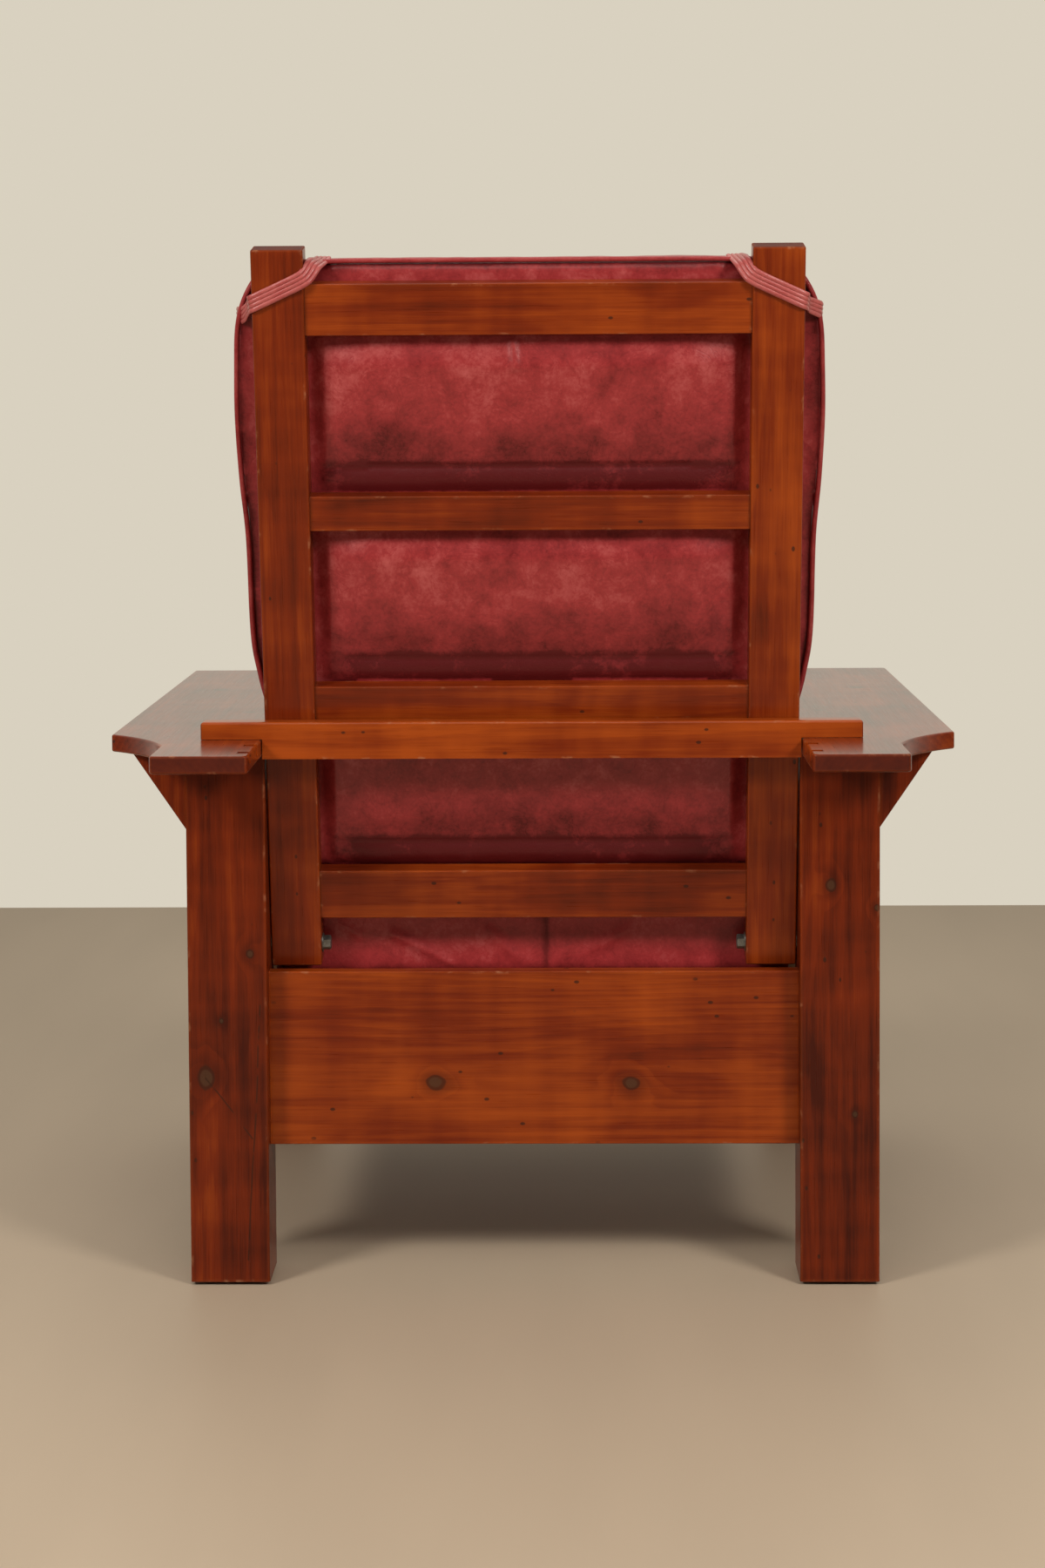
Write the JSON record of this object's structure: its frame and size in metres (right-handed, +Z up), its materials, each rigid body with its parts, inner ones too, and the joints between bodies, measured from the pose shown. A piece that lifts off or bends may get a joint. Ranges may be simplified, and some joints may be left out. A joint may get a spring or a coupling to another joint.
{
  "type": "reclining armchair",
  "caption": "Wood armchair with wide flat arms, slatted sides, leather cushions and a hinged ladder back that leans on a loose bar set in notches of the arms.",
  "frame": {"origin": "centre of the chair's box, on the floor", "axes": "+Z up, the sitter faces -Y, the sitter's left hand is at +X"},
  "size_m": [0.972, 0.933, 1.2032],
  "materials": {
    "stained_wood": "satin",
    "bare_wood": "matt",
    "dowel_wood": "matt",
    "bar_wood": "satin",
    "seat_leather": "satin",
    "back_leather": "satin",
    "strap_leather": "satin",
    "zinc_steel": "satin",
    "bushing_brass": "satin",
    "glide_plastic": "matt"
  },
  "bodies": {
    "frame": {"rear_leg_left": "stained_wood", "rear_leg_right": "stained_wood", "front_leg_left": "stained_wood", "front_leg_right": "stained_wood", "rear_apron": "stained_wood", "front_apron": "stained_wood", "side_apron_left": "stained_wood", "side_apron_right": "stained_wood", "side_rail_left": "stained_wood", "side_rail_right": "stained_wood", "side_slat_1_left": "stained_wood", "side_slat_1_right": "stained_wood", "side_slat_2_left": "stained_wood", "side_slat_2_right": "stained_wood", "side_slat_3_left": "stained_wood", "side_slat_3_right": "stained_wood", "side_slat_4_left": "stained_wood", "side_slat_4_right": "stained_wood", "side_slat_5_left": "stained_wood", "side_slat_5_right": "stained_wood", "arm_left": "stained_wood", "arm_right": "stained_wood", "arm_dowels": "dowel_wood", "rear_corbel_left": "stained_wood", "rear_corbel_right": "stained_wood", "front_corbel_left": "stained_wood", "front_corbel_right": "stained_wood", "rear_corner_block_left": "bare_wood", "rear_corner_block_right": "bare_wood", "front_corner_block_left": "bare_wood", "front_corner_block_right": "bare_wood", "corner_screws": "zinc_steel", "leg_glides": "glide_plastic", "seat_cleat_left": "bare_wood", "seat_cleat_right": "bare_wood", "seat_slat_1": "bare_wood", "seat_slat_2": "bare_wood", "seat_slat_3": "bare_wood", "seat_slat_4": "bare_wood", "seat_slat_5": "bare_wood", "seat_cushion": "seat_leather", "pivot_bolts": "zinc_steel", "pivot_washers": "zinc_steel", "pivot_nuts": "zinc_steel"},
    "back": {"back_stile_left": "stained_wood", "back_stile_right": "stained_wood", "back_rail_lower": "stained_wood", "back_rail_middle": "stained_wood", "back_rail_upper": "stained_wood", "back_rail_top": "stained_wood", "rail_dowels": "dowel_wood", "pivot_bushings": "bushing_brass", "back_cushion": "back_leather", "cushion_strap_left": "strap_leather", "cushion_strap_right": "strap_leather"},
    "bar": {"support_bar": "bar_wood", "bar_pegs": "bar_wood"}
  },
  "joints": [
    {"name": "back_tilt", "type": "hinge", "parent": "frame", "child": "back", "pos_m": [0, 0.2287, 0.38912], "axis": [1, 0, 0], "range_deg": [0, 8]},
    {"name": "bar_lift", "type": "slide", "parent": "frame", "child": "bar", "axis": [0, 0.1822, 0.9833], "range_m": [0, 0.055]}
  ]
}
